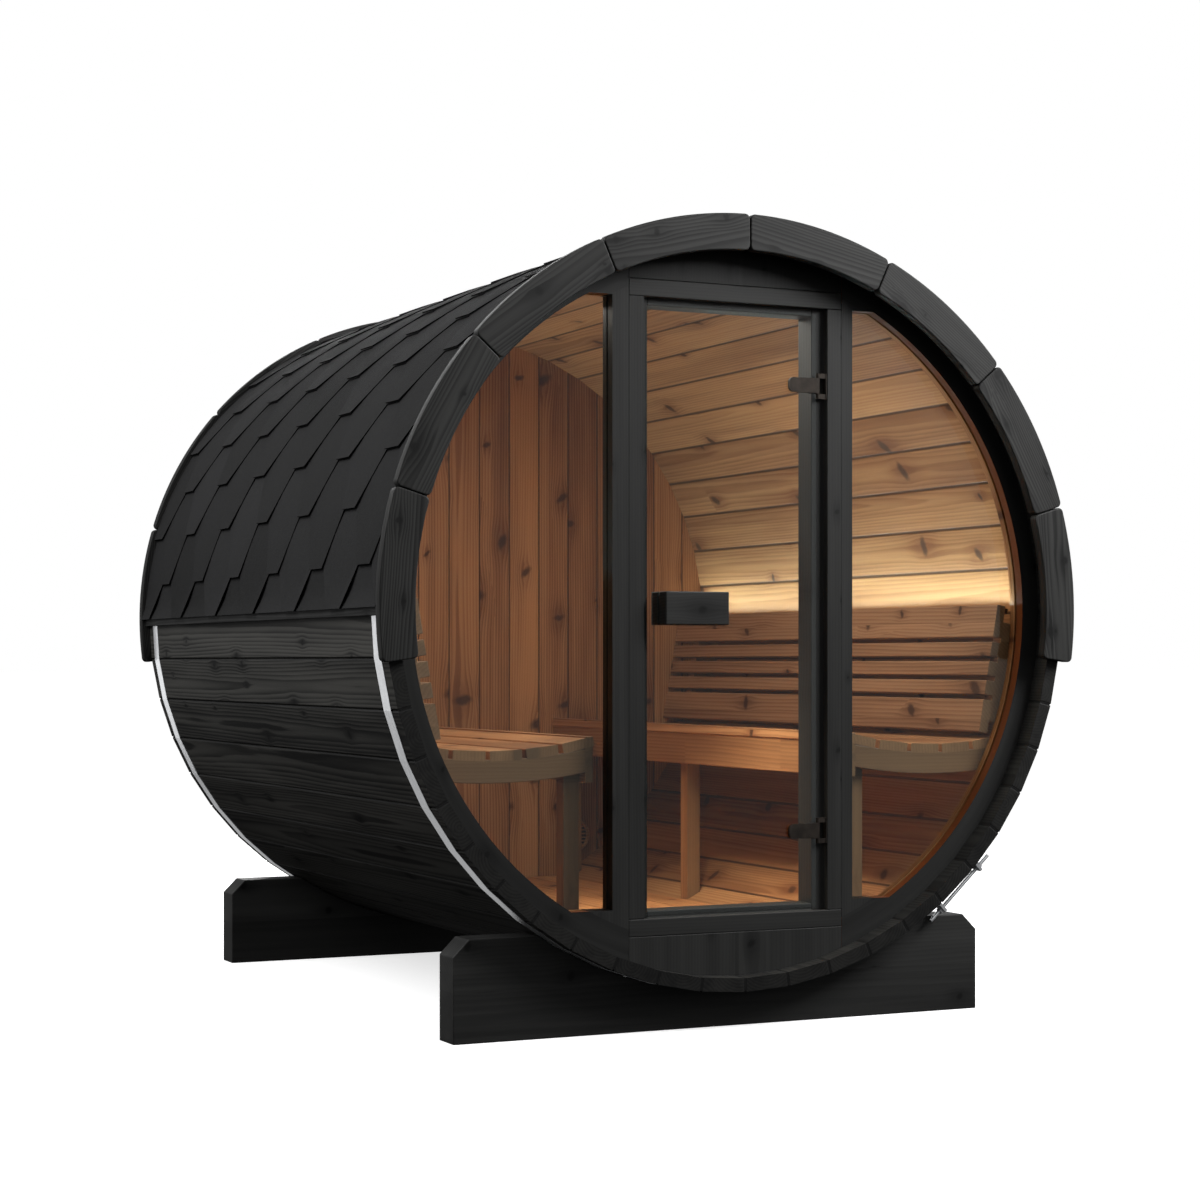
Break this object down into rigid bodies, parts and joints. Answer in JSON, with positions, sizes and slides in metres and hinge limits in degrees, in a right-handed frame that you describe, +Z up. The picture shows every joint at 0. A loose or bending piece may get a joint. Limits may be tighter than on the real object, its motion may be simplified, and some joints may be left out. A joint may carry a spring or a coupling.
{
  "type": "barrel sauna",
  "caption": "Horizontal barrel sauna of dark staves on cradles, with a glazed round front, hinged glass door, shingled roof, dished benches and backrests inside.",
  "frame": {"origin": "on the ground under the middle of the barrel", "axes": "+Z up, +Y from the glazed front to the rear wall, +X to the right as seen from the front"},
  "size_m": [2.05, 2.216, 2.1255],
  "materials": {
    "black_wood": "black stained spruce with open grain",
    "natural_wood": "planed warm brown softwood",
    "bitumen_shingle": "gritted black bitumen shingles",
    "galvanised_steel": "bright galvanised",
    "dark_metal": "dark bronze",
    "glass": "clear toughened glass",
    "warm_light": "warm white light strip"
  },
  "bodies": {
    "sauna": {"door_head": "black_wood", "door_left_jamb": "black_wood", "door_right_jamb": "black_wood", "door_threshold": "black_wood", "floor_bearers": "natural_wood", "floor_boards": "natural_wood", "floor_staves": "black_wood", "front_arch_left": "black_wood", "front_arch_right": "black_wood", "front_band": "galvanised_steel", "front_band_tensioner": "galvanised_steel", "front_cradle": "black_wood", "front_header": "black_wood", "front_lower_panel": "black_wood", "hinge_leaves": "dark_metal", "left_backrest": "natural_wood", "left_bench_frame": "natural_wood", "left_bench_seat": "natural_wood", "left_eave_trim": "black_wood", "left_light_strip": "warm_light", "left_window_frame": "black_wood", "left_window_glass": "glass", "lower_left_staves": "black_wood", "lower_right_staves": "black_wood", "rear_arch_left": "black_wood", "rear_arch_right": "black_wood", "rear_band": "galvanised_steel", "rear_band_tensioner": "galvanised_steel", "rear_cradle": "black_wood", "rear_vent": "natural_wood", "rear_wall": "natural_wood", "right_backrest": "natural_wood", "right_bench_frame": "natural_wood", "right_bench_seat": "natural_wood", "right_eave_trim": "black_wood", "right_light_strip": "warm_light", "right_window_frame": "black_wood", "right_window_glass": "glass", "roof_shingles_left": "bitumen_shingle", "roof_shingles_right": "bitumen_shingle", "roof_staves": "black_wood", "upper_left_staves": "black_wood", "upper_right_staves": "black_wood"},
    "door": {"door_glass": "glass", "door_handle_outer": "black_wood", "door_handle_inner": "black_wood", "hinge_clamps": "dark_metal"}
  },
  "joints": [
    {"name": "door_hinge", "type": "hinge", "parent": "sauna", "child": "door", "pos_m": [0.254, -1.018, 1.105], "axis": [0, 0, 1], "range_deg": [0, 100]}
  ]
}
